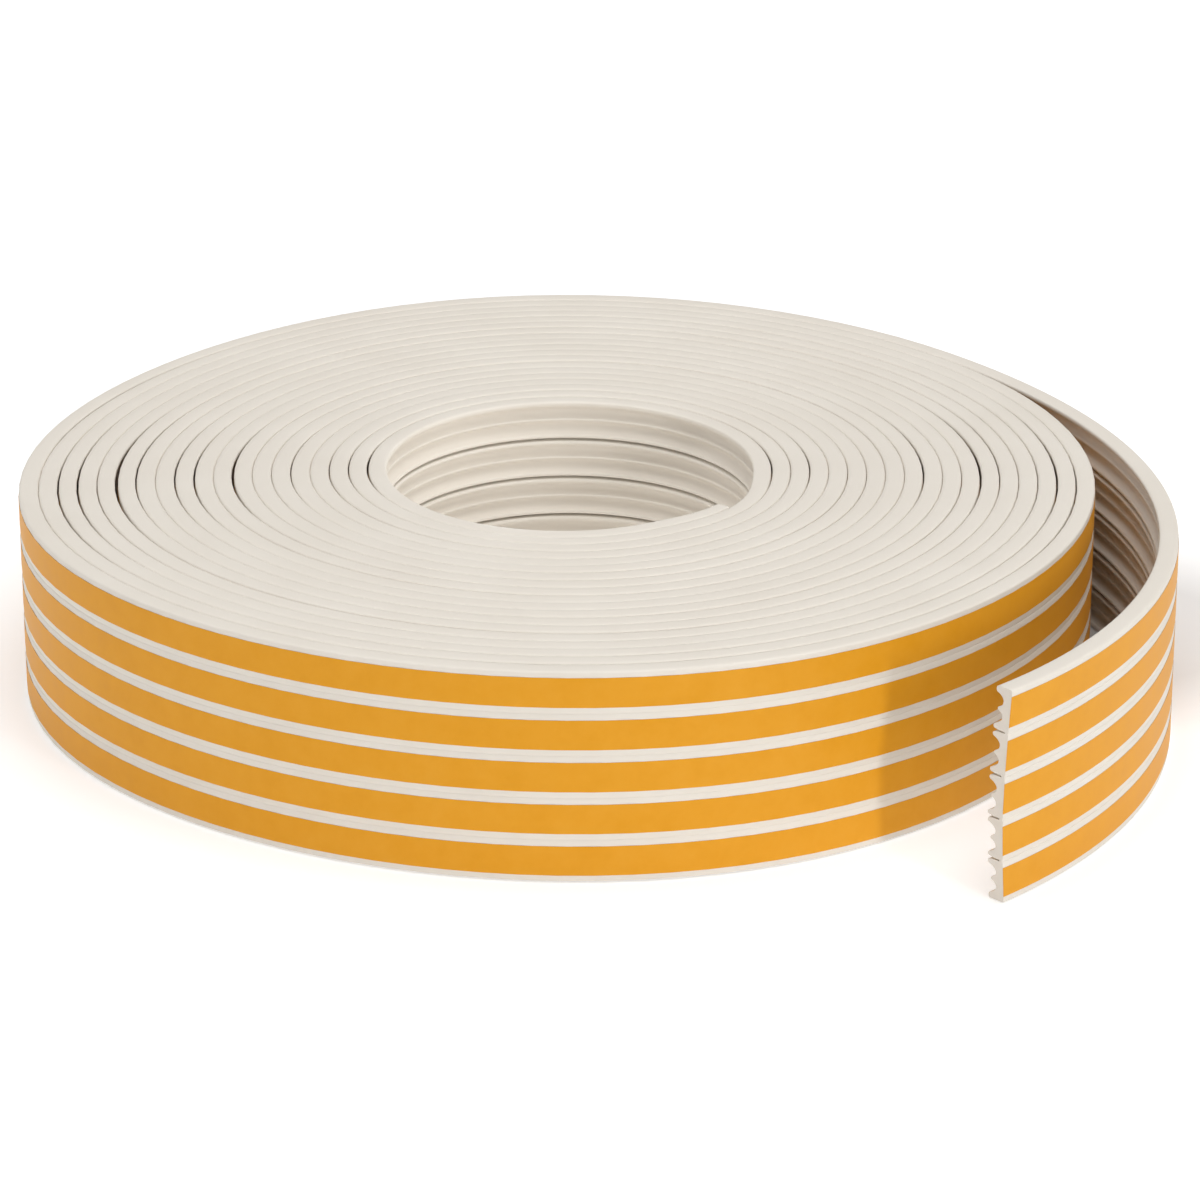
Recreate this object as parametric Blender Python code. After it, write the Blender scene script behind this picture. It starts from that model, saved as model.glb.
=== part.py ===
"""Self-adhesive window seal: five E-profile strands moulded side by side as one rubber band.

The band lies on its edge, wound as a spiral round an empty bore, with its ribs facing inward
and one release liner along the back of each strand. Its outer end curves away from the roll
and shows the cut section. Metres, +Z up, origin at the middle of the footprint on the floor.
"""

import math

import bmesh
import bpy
from mathutils import Matrix, Vector

# The band's section: out is measured from the rib tips to the back, and z up the stack of strands.
STRANDS = 5
STRAND_HEIGHT = 0.009
PROFILE_DEPTH = 0.004
BACK_WALL = 0.0019
LIP_TIP_WIDTH = 0.0014
LIP_ROOT_WIDTH = 0.0022
MIDDLE_RIB_TIP_WIDTH = 0.0007
MIDDLE_RIB_ROOT_WIDTH = 0.0018
MIDDLE_RIB_HEIGHT = 0.0013
STRAND_GAP = 0.0006
STRAND_GAP_DEPTH = 0.0031

# The roll.
BORE_RADIUS = 0.0364
TURNS = 18.78
WOUND_SLACK = 0.0001
EDGE_WIDTH = 0.0006
EDGE_DROP = 0.0008
INNER_END_AZIMUTH = math.radians(-38)
STEPS_A_TURN = 32

# The free end.
TAIL_RADIUS = 0.150
TAIL_SWEEP = math.radians(85)
TAIL_LIFT = math.radians(2)
TAIL_STEPS = 12

# The release liners, which stand this far off the back that they stick to.
LINER_WIDTH = 0.0063
LINER_THICKNESS = 0.0003
LINER_STANDOFF = 0.0003
LINER_LEAD_STEPS = 1

CUTTER_REACH = 0.0002
CUTTER_OVERRUN = math.radians(2)
CHANNEL_LEAD = math.radians(3)
WELD = 0.00002

BAND_WIDTH = STRANDS * STRAND_HEIGHT
TURN_PITCH = PROFILE_DEPTH + WOUND_SLACK
LAST_STEP = round(TURNS * STEPS_A_TURN)

RUBBER_COLOUR = (0.79, 0.73, 0.65, 1)
LINER_COLOUR = (0.80, 0.40, 0.05, 1)


def clear_scene():
    for obj in list(bpy.data.objects):
        bpy.data.objects.remove(obj)


def make_collection(name):
    collection = bpy.data.collections.new(name)
    bpy.context.scene.collection.children.link(collection)
    return collection


def make_material(name, colour, roughness):
    material = bpy.data.materials.new(name)
    material.use_nodes = True
    shader = material.node_tree.nodes["Principled BSDF"]
    shader.inputs["Base Color"].default_value = colour
    shader.inputs["Roughness"].default_value = roughness
    shader.inputs["Metallic"].default_value = 0
    return material


def facing(azimuth, place):
    """A frame at the place, with its X pointing out along the azimuth and its Z up."""
    return Matrix.Translation(place) @ Matrix.Rotation(azimuth, 4, "Z")


def roll_azimuth(step):
    return INNER_END_AZIMUTH - 2 * math.pi * step / STEPS_A_TURN


def roll_station(step):
    """The frame of the rib tips at a step of the winding, which runs clockwise seen from above."""
    azimuth = roll_azimuth(step)
    radius = BORE_RADIUS + TURN_PITCH * step / STEPS_A_TURN
    return facing(azimuth, Vector((math.cos(azimuth), math.sin(azimuth), 0)) * radius)


def tail_station(angle):
    """The frame of the rib tips on the free end, this far round its own arc from where it leaves the roll."""
    leaving = roll_azimuth(LAST_STEP)
    start = roll_station(LAST_STEP) @ Vector((TURN_PITCH, 0, 0))
    centre = start - Matrix.Rotation(leaving + TAIL_LIFT, 3, "Z") @ Vector((TAIL_RADIUS, 0, 0))
    azimuth = leaving + TAIL_LIFT - angle
    reach = TAIL_RADIUS - TURN_PITCH
    return facing(azimuth, centre + Vector((math.cos(azimuth), math.sin(azimuth), 0)) * reach)


def tail_stations(first, last):
    return [tail_station(first + (last - first) * i / TAIL_STEPS) for i in range(TAIL_STEPS + 1)]


def at(out, z):
    return Vector((out, 0, z))


def land(z_flat, z_edge):
    """One turn's end face: a flat land between the two rounded edges that show the turns."""
    return [
        at(0, z_edge),
        at(EDGE_WIDTH, z_flat),
        at(TURN_PITCH - EDGE_WIDTH, z_flat),
        at(TURN_PITCH, z_edge),
    ]


def hollow(strand, mouth):
    """The hollow inside one strand from its upper lip down to its lower, with the middle rib on its floor."""
    centre = (strand + 0.5) * STRAND_HEIGHT
    floor = TURN_PITCH - BACK_WALL
    upper = [
        (mouth, STRAND_HEIGHT / 2 - LIP_TIP_WIDTH),
        (floor, STRAND_HEIGHT / 2 - LIP_ROOT_WIDTH),
        (floor, MIDDLE_RIB_ROOT_WIDTH / 2),
        (floor - MIDDLE_RIB_HEIGHT, MIDDLE_RIB_TIP_WIDTH / 2),
    ]
    lower = [(out, -rise) for out, rise in reversed(upper)]
    return [at(out, centre + rise) for out, rise in upper + lower]


def bore_wall():
    """The ribbed inside of the innermost turn from the top edge down, with the gaps between strands."""
    points = [at(0, BAND_WIDTH - EDGE_DROP)]
    for strand in range(STRANDS - 1, -1, -1):
        points += hollow(strand, 0)
        if strand:
            z = strand * STRAND_HEIGHT
            points += [at(0, z + STRAND_GAP), at(STRAND_GAP, z), at(0, z - STRAND_GAP)]
    return points + [at(0, EDGE_DROP)]


def outer_wall():
    return [at(TURN_PITCH, EDGE_DROP), at(TURN_PITCH, BAND_WIDTH - EDGE_DROP)]


def tail_outline():
    """The plain section of the free end, before its channels are cut."""
    top = land(BAND_WIDTH, BAND_WIDTH - EDGE_DROP)
    bottom = land(0, EDGE_DROP)
    return [at(max(p.x, WOUND_SLACK), p.z) for p in top + bottom[::-1]]


def sweep(bm, section, stations, closed=False):
    """Carries a section through the stations and returns its first and last rings of vertices."""
    rings = [[bm.verts.new(station @ point) for point in section] for station in stations]
    count = len(section)
    for near, far in zip(rings, rings[1:]):
        for i in range(count if closed else count - 1):
            j = (i + 1) % count
            bm.faces.new((near[i], near[j], far[j], far[i]))
    return rings[0], rings[-1]


def sweep_solid(bm, section, stations):
    first, last = sweep(bm, section, stations, closed=True)
    bm.faces.new(first)
    bm.faces.new(last)


def finish_mesh(bm, name):
    bmesh.ops.recalc_face_normals(bm, faces=bm.faces)
    mesh = bpy.data.meshes.new(name)
    bm.to_mesh(mesh)
    bm.free()
    return mesh


def make_object(mesh, collection, parent=None, material=None):
    obj = bpy.data.objects.new(mesh.name, mesh)
    collection.objects.link(obj)
    obj.parent = parent
    if material:
        mesh.materials.append(material)
        mesh.shade_smooth()
        mesh.set_sharp_from_angle(angle=math.radians(30))
    return obj


def band_mesh():
    """The wound roll and its free end as one body, whose neighbouring turns share their edges."""
    bm = bmesh.new()
    winding = [roll_station(step) for step in range(LAST_STEP + 1)]
    sweep(bm, land(BAND_WIDTH, BAND_WIDTH - EDGE_DROP), winding)
    sweep(bm, land(0, EDGE_DROP), winding)
    sweep(bm, bore_wall(), winding[: STEPS_A_TURN + 1])
    sweep(bm, outer_wall(), winding[-STEPS_A_TURN - 1 :])
    leaving = land(BAND_WIDTH, BAND_WIDTH - EDGE_DROP) + land(0, EDGE_DROP)[::-1]
    root = [bm.verts.new(winding[-1] @ point) for point in leaving]
    first, last = sweep(bm, tail_outline(), tail_stations(0, TAIL_SWEEP)[1:], closed=True)
    for i in range(len(root)):
        j = (i + 1) % len(root)
        bm.faces.new((root[i], root[j], first[j], first[i]))
    bm.faces.new(last)
    bmesh.ops.remove_doubles(bm, verts=bm.verts, dist=WELD)
    open_edges = [edge for edge in bm.edges if edge.is_boundary]
    bmesh.ops.holes_fill(bm, edges=open_edges)
    return finish_mesh(bm, "seal_band")


def gap_section(strand):
    """The narrow gap under a strand, which leaves a thin web at the back."""
    z = strand * STRAND_HEIGHT
    mouth = WOUND_SLACK - CUTTER_REACH
    foot = WOUND_SLACK + STRAND_GAP_DEPTH
    half = STRAND_GAP / 2
    return [at(mouth, z - half), at(foot, z - half / 2), at(foot, z + half / 2), at(mouth, z + half)]


def cutter_mesh():
    """Every channel and gap of the free end, started just clear of the roll and run past the cut end."""
    bm = bmesh.new()
    stations = tail_stations(0, TAIL_SWEEP)
    run = [tail_station(CHANNEL_LEAD)] + stations[1:-1] + [tail_station(TAIL_SWEEP + CUTTER_OVERRUN)]
    for strand in range(STRANDS):
        sweep_solid(bm, hollow(strand, WOUND_SLACK - CUTTER_REACH), run)
        if strand:
            sweep_solid(bm, gap_section(strand), run)
    return finish_mesh(bm, "channel_cutter")


def liner_mesh(strand):
    """A liner on the back of one strand, round the outermost turn and along the free end."""
    bm = bmesh.new()
    near = TURN_PITCH + LINER_STANDOFF
    far = near + LINER_THICKNESS
    low = (strand + 0.5) * STRAND_HEIGHT - LINER_WIDTH / 2
    high = low + LINER_WIDTH
    section = [at(near, low), at(far, low), at(far, high), at(near, high)]
    first = LAST_STEP - STEPS_A_TURN + LINER_LEAD_STEPS
    turn = [roll_station(step) for step in range(first, LAST_STEP + 1)]
    sweep_solid(bm, section, turn + tail_stations(0, TAIL_SWEEP)[1:])
    return finish_mesh(bm, f"liner_strip_{strand + 1}")


def cut(obj, cutter):
    modifier = obj.modifiers.new("channels", "BOOLEAN")
    modifier.operation = "DIFFERENCE"
    modifier.solver = "EXACT"
    modifier.object = cutter
    cutter.hide_render = True
    cutter.display_type = "WIRE"


def footprint_middle(objects):
    """The middle of the box round these objects, on the floor."""
    corners = [vertex.co for obj in objects for vertex in obj.data.vertices]
    middle = [(min(c[axis] for c in corners) + max(c[axis] for c in corners)) / 2 for axis in (0, 1)]
    return Vector((*middle, 0))


def main():
    clear_scene()
    parts = make_collection("window_seal_roll")
    cutters = make_collection("cutters")
    rubber = make_material("cream_rubber", RUBBER_COLOUR, 0.55)
    paper = make_material("orange_liner", LINER_COLOUR, 0.45)
    axis = bpy.data.objects.new("roll_axis", None)
    parts.objects.link(axis)
    band = make_object(band_mesh(), parts, axis, rubber)
    liners = [make_object(liner_mesh(s), parts, axis, paper) for s in range(STRANDS)]
    cutter = make_object(cutter_mesh(), cutters, axis)
    cut(band, cutter)
    axis.location = -footprint_middle([band, *liners])


main()
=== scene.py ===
"""The looks of a roll of self-adhesive window seal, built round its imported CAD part.

Five strands of E-profile rubber lie side by side as one band. The band is wound clockwise round
an open bore, ribs inward, and its outer end curves away to a clean cut. An orange release liner
runs along the back of each strand. Lengths are millimetres, and MM turns them into metres.
Materials, lights, the floor and the camera's clipping are in metres.
"""

import math

import bmesh
import bpy
import numpy as np
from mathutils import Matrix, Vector


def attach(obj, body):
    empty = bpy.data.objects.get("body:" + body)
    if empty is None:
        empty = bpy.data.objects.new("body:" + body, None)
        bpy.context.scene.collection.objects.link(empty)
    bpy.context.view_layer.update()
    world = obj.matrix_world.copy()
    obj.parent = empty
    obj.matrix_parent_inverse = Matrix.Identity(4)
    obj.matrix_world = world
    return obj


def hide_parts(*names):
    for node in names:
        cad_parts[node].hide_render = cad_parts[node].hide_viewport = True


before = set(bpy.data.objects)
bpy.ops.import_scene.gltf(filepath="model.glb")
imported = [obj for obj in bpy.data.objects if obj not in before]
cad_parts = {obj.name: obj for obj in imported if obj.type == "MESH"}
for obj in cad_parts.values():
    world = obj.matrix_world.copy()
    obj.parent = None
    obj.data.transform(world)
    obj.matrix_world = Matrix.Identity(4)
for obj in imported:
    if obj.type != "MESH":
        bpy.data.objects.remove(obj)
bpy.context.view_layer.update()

MM = 0.001
FULL_TURN = 2 * math.pi

# The band's section: out runs from the rib tips to the back, and z up the stack of strands.
STRANDS = 5
STRAND_HEIGHT = 9.0
BAND_HEIGHT = STRANDS * STRAND_HEIGHT
DEPTH = 4.0

# The round tip of a lip between two strands, whose arc runs from its gap to its hollow in degrees.
LIP_TIP = 0.02
LIP_TIP_RADIUS = 0.5
LIP_ARC_START = 80
LIP_ARC_END = 240
LIP_POINTS = 6

# Half of a strand's hollow: out and distance from the strand's middle, from a lip to the middle rib.
HOLLOW_FLANK = (
    (0.6, 3.14),
    (1.1, 2.92),
    (1.65, 2.52),
    (2.03, 2.0),
    (2.08, 1.5),
    (1.9, 1.0),
    (1.5, 0.6),
)
HOLLOW_SPAN_POINTS = 2
MIDDLE_RIB_TIP = 0.75
MIDDLE_RIB_TIP_RADIUS = 0.4
MIDDLE_RIB_POINTS = 4

# The gap between two strands narrows from its mouth over a waist to its foot, and in the bore,
# where the band is bent with its ribs inward, it is a little less open.
GAP_MOUTH_HALF = 0.33
GAP_WAIST = 1.3
GAP_WAIST_HALF = 0.21
GAP_FOOT = 3.1
GAP_FOOT_HALF = 0.15
BORE_GAP_OPEN = 0.9

# The groove along which two strands tear apart: how far across it, and how much of its depth.
TEAR_HALF_WIDTH = 0.45
TEAR_DEPTH = 0.17
TEAR_SHAPE = ((-1, 0), (-0.3, 0.6), (0, 1), (0.3, 0.6), (1, 0))

# The crown of the band's four edges: how far in from its side, and how far below its end face.
# At the foot, where the band's weight flattens it, only this share of the drop is left.
EDGE = ((0, 0.56), (0.05, 0.3), (0.19, 0.14), (0.5, 0.05), (1.15, 0))
FOOT_CROWN = 0.4

# The rest of the topmost and lowest lips: out, and distance from the end face.
EDGE_LIP = ((0.03, 0.88), (0.15, 1.14), (0.34, 1.29))

# Inside the roll the ribbed side is a plain floor between its topmost and lowest lips.
HIDDEN_FLOOR = 2.1
HIDDEN_LIP_HEIGHT = 2.6

# The winding, seen from above with azimuth 0 along +X. The rubber starts at INNER_START, which is
# a winding angle counted from the inner end.
ROLL_AXIS = (-6.611, 4.555)
ROLL_MIDDLE = Vector((*ROLL_AXIS, BAND_HEIGHT / 2))
INNER_RADIUS = 36.4
TURN_PITCH = 4.1
TURNS = 18.78
INNER_END_AZIMUTH = math.radians(-38)
INNER_START = math.radians(-2)

# How far the roll is out of round. What is inner fades outward, and what is outer fades inward.
# A lobe is its number round the roll with its cosine and sine parts.
INNER_SLACK = 0.42
INNER_SHIFT_Y = 1.85
INNER_STRETCH_Y = 1.29
OUTER_SLACK = -0.29
OUTER_SHIFT_Y = 0.52
OUTER_LOBES = ((2, 0.0, -0.16), (3, -0.53, -0.87), (4, 0.53, 0.48))

# The inner end has sprung outward and bulges the first turns at this azimuth.
BULGE = 2.2
BULGE_AZIMUTH = math.radians(-34)
BULGE_HALF_ARC = math.radians(30)
BULGE_TURNS = 3.0

# How far the turns stand up from the floor: a mean, and waves with frequency, phase and height.
RISE_MEAN = 0.13
RISE_WAVES = ((0.83, 0.4, 0.08), (0.37, 2.1, 0.05))

# The hair-thin gap where turns lie close. It opens by shares of its width: a mean, more at the
# winding angle that faces the right front, and an uneven wave made from three that have frequency
# and phase, all held between the least and the most.
TIGHT_GAP = 0.045
TIGHT_MEAN = 0.7
TIGHT_LEAST = 0.05
TIGHT_MOST = 3.2
RIGHT_FRONT = 0.2
RIGHT_FRONT_MORE = 1.3
WANDER_WAVES = ((1.31, 0.7), (0.37, 1.0), (2.17, 2.9))
WANDER_THIRD = 0.6

# The wider gaps between turns: boundary counted from outside, azimuth of its middle, width.
GAP_HALF_ARC = math.radians(34)
LEFT_GAPS = (
    (1, 153, 0.34),
    (2, 192, 0.38),
    (3, 187, 0.42),
    (4, 196, 0.18),
    (5, 180, 0.72),
    (6, 178, 0.32),
    (8, 180, 0.32),
    (9, 185, 0.36),
    (11, 182, 0.55),
    (14, 181, 0.20),
    (16, 180, 0.20),
    (17, 180, 0.22),
    (18, 182, 0.40),
)
FRONT_GAPS = (
    (1, -88, 0.24),
    (2, -76, 0.16),
    (3, -92, 0.16),
    (5, -80, 0.14),
)
RIGHT_GAPS = (
    (1, -12, 0.28),
    (2, 2, 0.46),
    (3, -12, 0.16),
    (5, 8, 0.26),
    (6, 4, 0.50),
    (9, 3, 0.34),
    (15, 3, 0.25),
    (17, 3, 0.32),
)
OUTERMOST_LEFT = 18
OUTERMOST_RIGHT = 17

# The free end leaves the roll at this winding angle, along the tangent that a small step back
# gives, and its radius goes through these three. TAIL_EASE is the share of its length within
# which it takes its own depth.
LEAVING = FULL_TURN * TURNS + math.radians(0.85)
LEAVING_STEP = 0.005
TAIL_RADII = (195.0, 119.0, 138.5)
TAIL_LENGTH = 222.4
TAIL_EASE = 0.125

# The blade that cut the free end ran in a shallow bow, furthest out at this height.
CUT_FURTHEST = 19.5
CUT_BOW = 0.0125
CUT_BOW_POWER = 1.5

# The liner strips.
LINER_WIDTH = 6.3
LINER_THICKNESS = 0.08
LINER_SUNK = 0.01

# How finely the pieces are made, and how far the ribs of the bore, the tear grooves and the ribs
# of the free end reach into the winding.
WINDING_STEPS = 96
TAIL_STEPS = 60
INNER_DETAIL = math.radians(385)
OUTER_DETAIL = math.radians(372)
TAIL_DETAIL_LEAD = math.radians(24)
SHADING_ANGLE = math.radians(38)

# The floor, and its glow, which is painted light: none near the gap between the roll and its free end,
# full beyond it.
FLOOR_HALF = 5.0
FLOOR_DROP = 0.0002
FREE_END_GAP = (0.112, 0.022, 0)
GLOW_NONE_WITHIN = 0.03
GLOW_FULL_BEYOND = 0.06
GLOW_STRENGTH = 0.33

# The softboxes, which face the roll: name, azimuth and elevation in degrees, distance, width and
# height in metres, and power in watts.
SOFTBOXES = (
    ("overhead", -35, 78, 2.4, 2.4, 2.4, 50),
    ("left", 165, 28, 2.2, 1.5, 1.2, 9),
    ("front", -100, 30, 2.2, 1.5, 1.2, 3),
    ("key", -53, 13, 1.8, 0.13, 0.5, 7.2),
)
ROOM_STRENGTH = 0.22

# The bore's lamp, whose place is counted in millimetres from the middle of the roll's upper end.
BORE_LAMP = (-10, 3, 1)
BORE_LAMP_RADIUS = 0.008
BORE_LAMP_POWER = 0.01

# The photo's camera, which stands level: distance, elevation, pan and pixels a millimetre.
CAMERA_DISTANCE = 1100.0
CAMERA_ELEVATION = math.radians(21.4974)
CAMERA_PAN_RIGHT = math.radians(0.3898)
CAMERA_PAN_UP = math.radians(-0.3872)
CAMERA_NEAREST = 0.05
CAMERA_FURTHEST = 20
PIXELS_A_MM = 4.6116
IMAGE_PIXELS = 1200
SENSOR_WIDTH = 36.0


def hump(distance, half_width):
    """1 at no distance, easing to 0 at half the width on either side."""
    near = np.clip(distance / half_width, -1, 1)
    return np.cos(near * math.pi / 2) ** 2


def summed(steps):
    """Running sums of the steps, from nothing on."""
    return np.concatenate([np.zeros_like(steps[:1]), np.cumsum(steps, axis=0)])


def unit(vectors):
    """The vectors at length 1."""
    return vectors / np.linalg.norm(vectors, axis=-1, keepdims=True)


def nearest(points, place):
    """The number of the point that is nearest to a place."""
    return int(np.argmin(np.linalg.norm(points - np.array(place), axis=1)))


def lobes(azimuth):
    """How far the outermost turn stands out of round."""
    return sum(c * np.cos(n * azimuth) + s * np.sin(n * azimuth) for n, c, s in OUTER_LOBES)


def bulge(theta, azimuth):
    """How far the inner end pushes the turns outward here, less with every turn."""
    away = np.remainder(azimuth - BULGE_AZIMUTH + math.pi, FULL_TURN) - math.pi
    return BULGE * hump(away, BULGE_HALF_ARC) * np.exp(-theta / (FULL_TURN * BULGE_TURNS))


def rib_tips(theta):
    """Points of the rib tips at winding angles counted from the inner end, before the gaps open."""
    azimuth = INNER_END_AZIMUTH - theta
    outward = theta / (FULL_TURN * TURNS)
    inward = 1 - outward
    radius = INNER_RADIUS + TURN_PITCH * theta / FULL_TURN
    radius = radius + inward * INNER_SLACK + outward * (OUTER_SLACK + lobes(azimuth))
    radius = radius + inward * INNER_STRETCH_Y * np.sin(azimuth) ** 2 + bulge(theta, azimuth)
    shift = inward * INNER_SHIFT_Y + outward * OUTER_SHIFT_Y
    return np.stack([radius * np.cos(azimuth), radius * np.sin(azimuth) + shift], axis=-1)


def winding_angle(azimuth_degrees, layer):
    """The winding angle at which a layer, counted from the bore, passes an azimuth."""
    azimuth = math.radians(azimuth_degrees)
    return (INNER_END_AZIMUTH - azimuth) % FULL_TURN + FULL_TURN * layer


def placed_gaps(rows, side, outermost):
    """Winding angle and width of these gaps, whose layers are counted where they pass one side."""
    return [
        (winding_angle(side, outermost - boundary) - math.radians(azimuth - side), width)
        for boundary, azimuth, width in rows
    ]


def all_gaps():
    """Winding angle and width of every wider gap."""
    left = placed_gaps(LEFT_GAPS, 180, OUTERMOST_LEFT)
    return left + placed_gaps(FRONT_GAPS + RIGHT_GAPS, 0, OUTERMOST_RIGHT)


GAPS = all_gaps()


def wander(theta):
    """An uneven wave along the winding."""
    first, second, third = (np.sin(often * theta + phase) for often, phase in WANDER_WAVES)
    return first * second + WANDER_THIRD * third


def tight(theta):
    """The gap where turns lie close: it wanders between nothing and a hair's width."""
    right_front = RIGHT_FRONT_MORE * np.cos(theta - RIGHT_FRONT)
    opened = TIGHT_MEAN + wander(theta) + right_front
    return TIGHT_GAP * np.clip(opened, TIGHT_LEAST, TIGHT_MOST)


def gap(theta):
    """Width of the gap between the band at these winding angles and the next turn outward."""
    width = tight(theta)
    for middle, widest in GAPS:
        width = np.maximum(width, widest * hump(theta - middle, GAP_HALF_ARC))
    return width


def wound(theta):
    """Rib tips and back of the wound band, each moved aside by half of the gap next to it."""
    tips = rib_tips(theta)
    beyond = rib_tips(theta + FULL_TURN)
    out = unit(beyond - tips)
    tips = tips + out * gap(theta - FULL_TURN)[:, None] / 2
    return tips, beyond - out * gap(theta)[:, None] / 2


def tail_heading(start, along):
    """Which way the free end runs at each distance along it, bent by a curvature that eases."""
    part = along / TAIL_LENGTH
    first, middle, last = (1 / radius for radius in TAIL_RADII)
    curvature = (1 - part) ** 2 * first + 2 * part * (1 - part) * middle + part**2 * last
    return start - summed((curvature[1:] + curvature[:-1]) / 2 * np.diff(along))


def free_end():
    """Rib tips and back of the free end, which goes on from the roll's back."""
    last_tips, last_backs = wound(np.array([LEAVING - LEAVING_STEP, LEAVING]))
    ahead = last_backs[1] - last_backs[0]
    along = np.linspace(0, TAIL_LENGTH, TAIL_STEPS + 1)
    heading = tail_heading(math.atan2(ahead[1], ahead[0]), along)
    halfway = (heading[1:] + heading[:-1]) / 2
    steps = np.diff(along)[:, None] * np.stack([np.cos(halfway), np.sin(halfway)], axis=-1)
    back = last_backs[1] + summed(steps)
    out = np.stack([-np.sin(heading), np.cos(heading)], axis=-1)
    first_depth = np.linalg.norm(last_backs[1] - last_tips[1])
    eased = np.clip(along / TAIL_LENGTH / TAIL_EASE, 0, 1)
    depth = first_depth + (DEPTH - first_depth) * eased
    return back - out * depth[:, None], back


def rise(theta):
    """How far each turn stands up, against the first and the outermost one, which are level."""
    settle = np.clip((LEAVING - theta) / FULL_TURN, 0, 1) * np.clip(theta / FULL_TURN, 0, 1)
    waves = [height * np.sin(often * theta + phase) for often, phase, height in RISE_WAVES]
    return settle * sum(waves, RISE_MEAN)


def arc(centre, radius, start, end, count):
    """Points of an arc in the section, from one angle to another in degrees; 0 is out, 90 is up."""
    angles = np.radians(np.linspace(start, end, count))
    return [(centre[0] + radius * math.cos(a), centre[1] + radius * math.sin(a)) for a in angles]


def smooth(points, count):
    """A curve through the points, with this many points in each span."""
    pts = np.array([points[0], *points, points[-1]], float)
    made = []
    for a, b, c, d in zip(pts, pts[1:], pts[2:], pts[3:]):
        for t in np.arange(count) / count:
            squared = 2 * a - 5 * b + 4 * c - d
            cubed = 3 * b - a - 3 * c + d
            bend = 2 * b + (c - a) * t + squared * t * t + cubed * t**3
            made.append(tuple(bend / 2))
    return made + [tuple(pts[-1])]


def half_hollow():
    """Half of a strand's hollow, as out and distance from its middle, from a lip to the middle rib."""
    centre = (MIDDLE_RIB_TIP + MIDDLE_RIB_TIP_RADIUS, 0)
    rib = arc(centre, MIDDLE_RIB_TIP_RADIUS, 90, 180, MIDDLE_RIB_POINTS)
    return smooth([*HOLLOW_FLANK, rib[0]], HOLLOW_SPAN_POINTS) + rib[1:]


def lip(strand_edge, side, gap_open):
    """The rounded tip of a lip, from the side that faces the gap to the side that faces the hollow."""
    away = GAP_MOUTH_HALF * gap_open + LIP_TIP_RADIUS
    centre = (LIP_TIP + LIP_TIP_RADIUS, strand_edge - side * away)
    return arc(centre, LIP_TIP_RADIUS, LIP_ARC_START * side, LIP_ARC_END * side, LIP_POINTS)


def edge(side, face):
    """A crowned edge of the band from its side to its end face, for side 0 or DEPTH and either face."""
    inward = 1 if side == 0 else -1
    below = -1 if face else FOOT_CROWN
    return [(side + inward * across, face + below * drop) for across, drop in EDGE]


def edge_lip(face):
    """The rest of the round tip of the band's topmost or lowest lip, next to its crowned edge."""
    below = -1 if face else 1
    return [(out, face + below * drop) for out, drop in EDGE_LIP]


def strand_inside(strand, gap_open):
    """A strand's ribbed side from its upper lip down to its lower one."""
    low = strand * STRAND_HEIGHT
    high = (strand + 1) * STRAND_HEIGHT
    middle = (low + high) / 2
    half = half_hollow()
    upper = [(out, middle + z) for out, z in half]
    lower = [(out, middle - z) for out, z in half[::-1]]
    first = edge_lip(BAND_HEIGHT) if strand == STRANDS - 1 else lip(high, 1, gap_open)
    last = edge_lip(0) if strand == 0 else lip(low, -1, gap_open)
    return first + upper + lower[1:] + last[::-1]


def strand_gap(strand_edge, gap_open):
    """The narrow gap between two strands, which leaves a thin web at the back."""
    wall = [(GAP_WAIST, GAP_WAIST_HALF * gap_open), (GAP_FOOT, GAP_FOOT_HALF * gap_open)]
    upper = [(out, strand_edge + half) for out, half in wall]
    lower = [(out, strand_edge - half) for out, half in wall]
    return upper + lower[::-1]


def ribbed_side(gap_open):
    """The whole ribbed side from the top down, with its gaps this far open."""
    points = []
    for strand in range(STRANDS - 1, -1, -1):
        points += strand_inside(strand, gap_open)
        if strand:
            points += strand_gap(strand * STRAND_HEIGHT, gap_open)
    return points


def plain_side():
    """The ribbed side inside the roll, where only the outer lips reach the light."""
    top = edge_lip(BAND_HEIGHT) + [(HIDDEN_FLOOR, BAND_HEIGHT - HIDDEN_LIP_HEIGHT)]
    foot = edge_lip(0) + [(HIDDEN_FLOOR, HIDDEN_LIP_HEIGHT)]
    return top + foot[::-1]


def tear_groove(z):
    """The shallow groove along which two strands tear apart."""
    return [(DEPTH - TEAR_DEPTH * deep, z + TEAR_HALF_WIDTH * across) for across, deep in TEAR_SHAPE]


def section(inside, torn):
    """A closed section: up the back, over the top edges, down the inside and under the foot."""
    back = edge(DEPTH, 0)[::-1]
    if torn:
        for strand in range(1, STRANDS):
            back += tear_groove(strand * STRAND_HEIGHT)
    back += edge(DEPTH, BAND_HEIGHT)
    return np.array(back + edge(0, BAND_HEIGHT)[::-1] + inside + edge(0, 0))


def carry(points, tips, backs, lift):
    """Places a section at each station: out goes from rib tips to back, and z is lifted."""
    out = points[None, :, :1] / DEPTH
    plan = tips[:, None, :] + (backs - tips)[:, None, :] * out
    height = points[None, :, 1] + np.asarray(lift)[:, None]
    return np.concatenate([plan + np.array(ROLL_AXIS), height[:, :, None]], axis=2) * MM


def strand_partings(points):
    """Pairs of section points, on the back and behind each gap, between which the cut end is divided."""
    pairs = []
    for strand in range(1, STRANDS):
        z = strand * STRAND_HEIGHT
        behind = nearest(points, (GAP_FOOT, z + GAP_FOOT_HALF))
        pairs.append((nearest(points, (DEPTH - TEAR_DEPTH, z)), behind))
    return pairs


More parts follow.
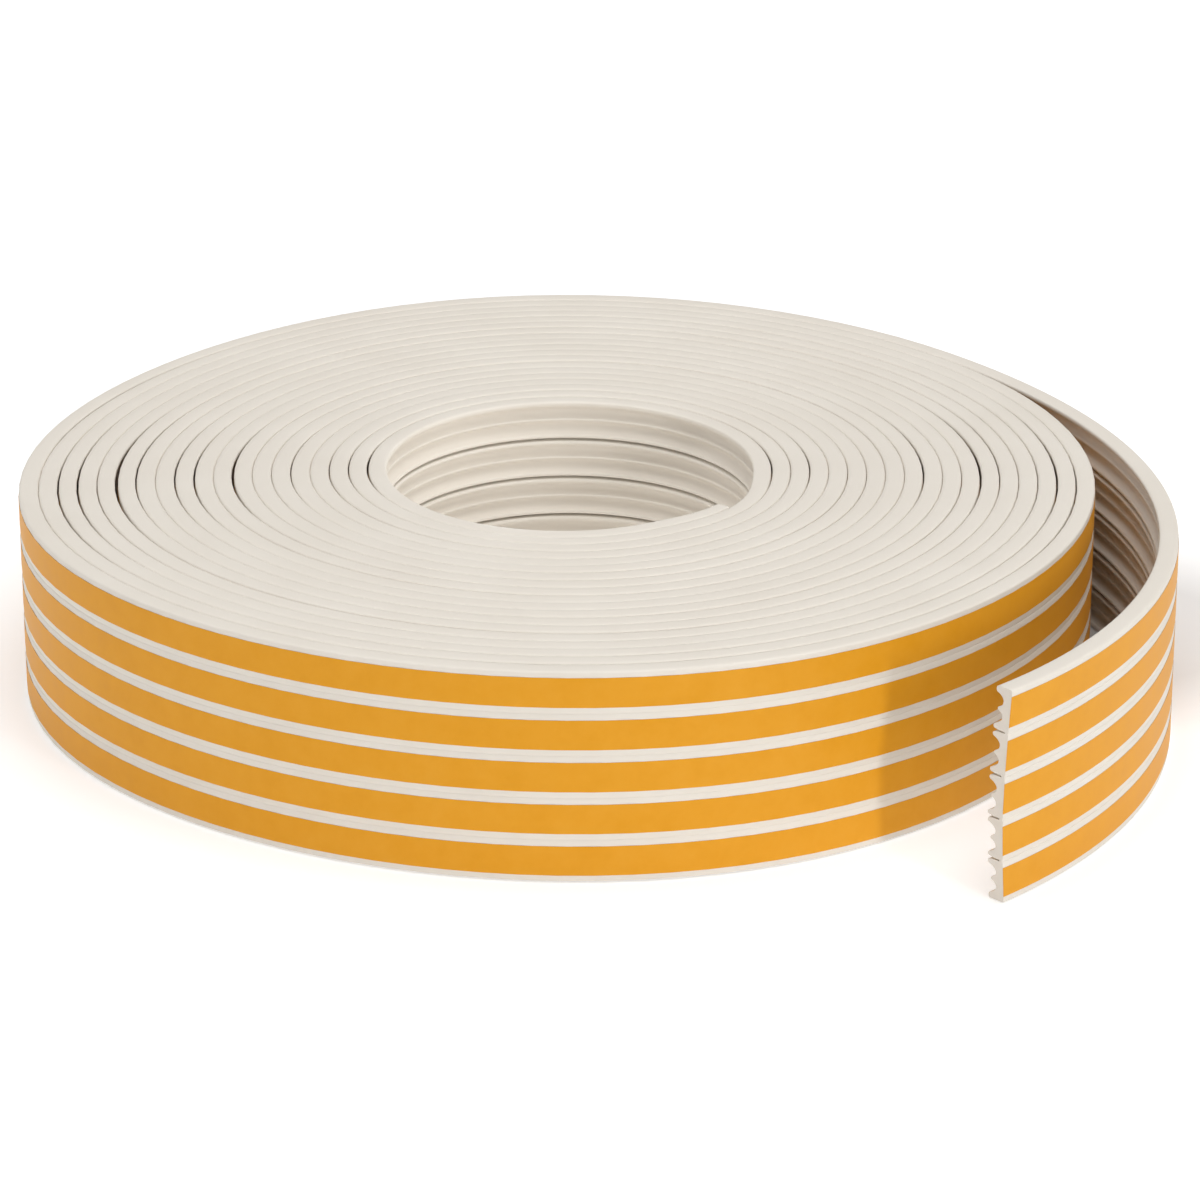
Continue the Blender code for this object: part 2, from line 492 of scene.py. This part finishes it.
def divide_end(ring, pairs):
    """Divides the face that closes a ring, so that it follows the bow of the cut."""
    for i, j in pairs:
        face = next(face for face in ring[i].link_faces if ring[j] in face.verts)
        bmesh.utils.face_split(face, ring[i], ring[j])


def sweep(bm, grid, partings=()):
    """A closed solid: quads round the section from each station to the next, and both ends."""
    rings = [[bm.verts.new(point) for point in ring] for ring in grid]
    count = len(rings[0])
    for near, far in zip(rings, rings[1:]):
        for i in range(count):
            j = (i + 1) % count
            bm.faces.new((near[i], near[j], far[j], far[i]))
    bm.faces.new(rings[0])
    bm.faces.new(rings[-1])
    divide_end(rings[-1], partings)


def add_object(name, data):
    """A new object in the scene."""
    made = bpy.data.objects.new(name, data)
    bpy.context.scene.collection.objects.link(made)
    return made


def make_piece(name, grids, material, slot, *nodes, partings=()):
    """A smooth-shaded piece that rides on the part's one body and stands for these CAD nodes."""
    bm = bmesh.new()
    for grid in grids[:-1]:
        sweep(bm, grid)
    sweep(bm, grids[-1], partings)
    bmesh.ops.recalc_face_normals(bm, faces=bm.faces)
    mesh = bpy.data.meshes.new(name)
    bm.to_mesh(mesh)
    bm.free()
    mesh.materials.append(material)
    mesh.shade_smooth()
    mesh.set_sharp_from_angle(angle=SHADING_ANGLE)
    piece = add_object(name, mesh)
    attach(piece, "root")
    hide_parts(*nodes)


def winding_stations(first, last):
    """Winding angles from one to another, evenly spaced."""
    count = max(2, round((last - first) / FULL_TURN * WINDING_STEPS))
    return np.linspace(first, last, count + 1)


def wound_sweep(points, first, last):
    """A section carried along the winding from one angle to another."""
    theta = winding_stations(first, last)
    return carry(points, *wound(theta), rise(theta))


def tail_sweep(points, first):
    """The end of the winding and the free end in one sweep, up to the cut."""
    theta = winding_stations(first, LEAVING)[:-1]
    tips, backs = wound(theta)
    tail_tips, tail_backs = free_end()
    lift = np.concatenate([rise(theta), np.zeros(len(tail_tips))])
    grid = carry(points, np.vstack([tips, tail_tips]), np.vstack([backs, tail_backs]), lift)
    ahead = unit(tail_backs[-1] - tail_backs[-2])
    from_furthest = np.abs(grid[-1, :, 2] / MM - CUT_FURTHEST)
    set_back = CUT_BOW * from_furthest**CUT_BOW_POWER * MM
    grid[-1, :, :2] -= set_back[:, None] * ahead
    return grid


def make_band(material):
    """The rubber band: ribs show in the bore and on the free end, and tear grooves outside."""
    outer = LEAVING - OUTER_DETAIL
    lead = LEAVING - TAIL_DETAIL_LEAD
    bore = section(ribbed_side(gap_open=BORE_GAP_OPEN), torn=False)
    free = section(ribbed_side(gap_open=1), torn=True)
    grids = [
        wound_sweep(bore, INNER_START, INNER_DETAIL),
        wound_sweep(section(plain_side(), torn=False), INNER_DETAIL, outer),
        wound_sweep(section(plain_side(), torn=True), outer, lead),
        tail_sweep(free, lead),
    ]
    partings = strand_partings(free)
    make_piece("rubber_band", grids, material, "seal_rubber", "seal_band", partings=partings)


def make_liner(strand, material):
    """The liner on one strand, from the inner end of the roll to the cut."""
    low = (strand + 0.5) * STRAND_HEIGHT - LINER_WIDTH / 2
    high = low + LINER_WIDTH
    near = DEPTH - LINER_SUNK
    far = DEPTH + LINER_THICKNESS
    points = np.array([(near, low), (far, low), (far, high), (near, high)])
    grids = [tail_sweep(points, INNER_START)]
    number = strand + 1
    make_piece(f"liner_{number}", grids, material, "release_liner", f"liner_strip_{number}")


def new_material(name):
    """A material with its nodes and links."""
    material = bpy.data.materials.new(name)
    material.use_nodes = True
    return material, material.node_tree.nodes, material.node_tree.links


def grey(value):
    """An opaque grey."""
    return (value, value, value, 1)


def noise(nodes, links, coords, scale, detail, roughness=0.5):
    """A noise texture's value at these coordinates."""
    texture = nodes.new("ShaderNodeTexNoise")
    texture.inputs["Scale"].default_value = scale
    texture.inputs["Detail"].default_value = detail
    texture.inputs["Roughness"].default_value = roughness
    links.new(coords, texture.inputs["Vector"])
    return texture.outputs["Fac"]


def ramp(nodes, links, value, stops):
    """A colour ramp with these (position, colour) stops."""
    node = nodes.new("ShaderNodeValToRGB")
    elements = node.color_ramp.elements
    elements[0].position, elements[0].color = stops[0]
    elements[1].position, elements[1].color = stops[-1]
    for position, colour in stops[1:-1]:
        elements.new(position).color = colour
    links.new(value, node.inputs["Fac"])
    return node.outputs["Color"]


def bump(nodes, links, height, distance, strength, before=None):
    """Fine relief, on top of the relief before it if there is one."""
    node = nodes.new("ShaderNodeBump")
    node.inputs["Distance"].default_value = distance
    node.inputs["Strength"].default_value = strength
    links.new(height, node.inputs["Height"])
    if before:
        links.new(before, node.inputs["Normal"])
    return node.outputs["Normal"]


def rubber_material():
    """Cream foam rubber: a satin skin with fine pores and a faint cloudiness."""
    material, nodes, links = new_material("cream_foam_rubber")
    shader = nodes["Principled BSDF"]
    coords = nodes.new("ShaderNodeTexCoord").outputs["Object"]
    clouds = noise(nodes, links, coords, scale=45, detail=3)
    creams = [(0.3, (0.765, 0.71, 0.632, 1)), (0.7, (0.79, 0.738, 0.662, 1))]
    links.new(ramp(nodes, links, clouds, creams), shader.inputs["Base Color"])
    swell = noise(nodes, links, coords, scale=260, detail=2)
    waved = bump(nodes, links, swell, distance=0.0002, strength=0.25)
    pores = noise(nodes, links, coords, scale=3200, detail=4, roughness=0.6)
    relief = bump(nodes, links, pores, distance=0.00006, strength=0.45, before=waved)
    links.new(relief, shader.inputs["Normal"])
    sheen = ramp(nodes, links, pores, [(0.3, grey(0.5)), (0.7, grey(0.62))])
    links.new(sheen, shader.inputs["Roughness"])
    shader.inputs["Specular IOR Level"].default_value = 0.4
    return material


def edge_shade_mask(nodes, links):
    """Painted shade mask: white on the liner's cut edges, which look up or down, and black on its
    upright faces.
    """
    normal = nodes.new("ShaderNodeNewGeometry").outputs["True Normal"]
    parts = nodes.new("ShaderNodeSeparateXYZ")
    links.new(normal, parts.inputs["Vector"])
    upward = nodes.new("ShaderNodeMath")
    upward.operation = "ABSOLUTE"
    links.new(parts.outputs["Z"], upward.inputs[0])
    return ramp(nodes, links, upward.outputs["Value"], [(0.5, grey(0)), (0.6, grey(1))])


def liner_material():
    """Waxed orange release paper: a soft sheen, faint blotches and cross fibres, and dark brown painted
    shade on its cut edges.
    """
    material, nodes, links = new_material("orange_release_paper")
    shader = nodes["Principled BSDF"]
    coords = nodes.new("ShaderNodeTexCoord").outputs["Object"]
    blotches = noise(nodes, links, coords, scale=170, detail=5, roughness=0.6)
    oranges = [
        (0.3, (0.735, 0.316, 0.009, 1)),
        (0.5, (0.755, 0.331, 0.014, 1)),
        (0.72, (0.77, 0.345, 0.02, 1)),
    ]
    colour = nodes.new("ShaderNodeMix")
    colour.data_type = "RGBA"
    links.new(edge_shade_mask(nodes, links), colour.inputs["Factor"])
    links.new(ramp(nodes, links, blotches, oranges), colour.inputs["A"])
    # Painted shade: this dark brown on the cut edges stands for the thin shade line along the liner's
    # edges.
    colour.inputs["B"].default_value = (0.42, 0.22, 0.07, 1)
    links.new(colour.outputs["Result"], shader.inputs["Base Color"])
    fibres = noise(nodes, links, coords, scale=1900, detail=4, roughness=0.65)
    relief = bump(nodes, links, fibres, distance=0.00002, strength=0.5)
    links.new(relief, shader.inputs["Normal"])
    sheen = ramp(nodes, links, blotches, [(0.3, grey(0.42)), (0.7, grey(0.5))])
    links.new(sheen, shader.inputs["Roughness"])
    shader.inputs["Specular IOR Level"].default_value = 0.2
    return material


def floor_glow(nodes, links, coords):
    """How much the floor glows, as painted light that lifts the shade round the roll: nothing in the gap
    beside the free end, and evenly beyond it.
    """
    away = nodes.new("ShaderNodeVectorMath")
    away.operation = "DISTANCE"
    away.inputs[1].default_value = FREE_END_GAP
    links.new(coords, away.inputs[0])
    glow = nodes.new("ShaderNodeMapRange")
    glow.inputs["From Min"].default_value = GLOW_NONE_WITHIN
    glow.inputs["From Max"].default_value = GLOW_FULL_BEYOND
    glow.inputs["To Max"].default_value = GLOW_STRENGTH
    links.new(away.outputs["Value"], glow.inputs["Value"])
    return glow.outputs["Result"]


def floor_material():
    """A white studio floor that glows a little with painted light, but not between the roll and its free
    end.
    """
    material, nodes, links = new_material("pale_floor")
    shader = nodes["Principled BSDF"]
    coords = nodes.new("ShaderNodeTexCoord").outputs["Object"]
    clouds = noise(nodes, links, coords, scale=3, detail=2)
    whites = [(0.3, grey(0.8)), (0.7, grey(0.81))]
    links.new(ramp(nodes, links, clouds, whites), shader.inputs["Base Color"])
    shader.inputs["Roughness"].default_value = 0.9
    shader.inputs["Specular IOR Level"].default_value = 0.1
    shader.inputs["Emission Color"].default_value = grey(1)
    links.new(floor_glow(nodes, links, coords), shader.inputs["Emission Strength"])
    return material


def make_floor():
    """A wide floor just below the roll's foot."""
    signs = ((-1, -1), (1, -1), (1, 1), (-1, 1))
    corners = [(x * FLOOR_HALF, y * FLOOR_HALF, 0) for x, y in signs]
    mesh = bpy.data.meshes.new("floor")
    mesh.from_pydata(corners, [], [(0, 1, 2, 3)])
    mesh.materials.append(floor_material())
    floor = add_object("floor", mesh)
    floor.location.z = -FLOOR_DROP


def toward(azimuth, elevation, distance):
    """A point this far from the roll, at an azimuth and an elevation in degrees."""
    a = math.radians(azimuth)
    e = math.radians(elevation)
    offset = Vector((math.cos(a) * math.cos(e), math.sin(a) * math.cos(e), math.sin(e))) * distance
    return ROLL_MIDDLE * MM + offset


def soft_light(name, place, width, height, power):
    """A softbox that faces the roll."""
    data = bpy.data.lights.new(name, "AREA")
    data.shape = "RECTANGLE"
    data.size = width
    data.size_y = height
    data.energy = power
    light = add_object(name, data)
    light.location = place
    aim = ROLL_MIDDLE * MM - place
    light.rotation_euler = aim.to_track_quat("-Z", "Y").to_euler()


def bore_lamp():
    """A small soft lamp in the mouth of the bore, unseen by the camera, that lights its ribbed wall."""
    data = bpy.data.lights.new("bore_lamp", "POINT")
    data.shadow_soft_size = BORE_LAMP_RADIUS
    data.energy = BORE_LAMP_POWER
    lamp = add_object("bore_lamp", data)
    lamp.location = (Vector((*ROLL_AXIS, BAND_HEIGHT)) + Vector(BORE_LAMP)) * MM
    lamp.visible_camera = False


def make_room():
    """A dim white room, shown in plain screen colours so that its floor can be white."""
    world = bpy.data.worlds.new("studio")
    world.use_nodes = True
    background = world.node_tree.nodes["Background"]
    background.inputs["Color"].default_value = grey(1)
    background.inputs["Strength"].default_value = ROOM_STRENGTH
    bpy.context.scene.world = world
    bpy.context.scene.view_settings.view_transform = "Standard"


def make_lights():
    """A wide box above, weak ones left and in front, a narrow key and the bore's lamp."""
    for name, azimuth, elevation, distance, width, height, power in SOFTBOXES:
        soft_light(name, toward(azimuth, elevation, distance), width, height, power)
    bore_lamp()


def make_camera():
    """The photo's camera, in front of the roll and a little above it."""
    data = bpy.data.cameras.new("camera")
    data.sensor_width = SENSOR_WIDTH
    data.lens = PIXELS_A_MM * CAMERA_DISTANCE / IMAGE_PIXELS * SENSOR_WIDTH
    data.clip_start = CAMERA_NEAREST
    data.clip_end = CAMERA_FURTHEST
    camera = add_object("camera", data)
    back = Vector((0, -math.cos(CAMERA_ELEVATION), math.sin(CAMERA_ELEVATION)))
    right = Vector((1, 0, 0))
    up = right.cross(-back)
    ahead = -back + right * math.tan(CAMERA_PAN_RIGHT) + up * math.tan(CAMERA_PAN_UP)
    camera.location = (ROLL_MIDDLE + back * CAMERA_DISTANCE) * MM
    camera.rotation_euler = ahead.to_track_quat("-Z", "Y").to_euler()
    bpy.context.scene.camera = camera


make_camera()
make_floor()
make_room()
make_lights()
make_band(rubber_material())
liner_paper = liner_material()
for strand in range(STRANDS):
    make_liner(strand, liner_paper)
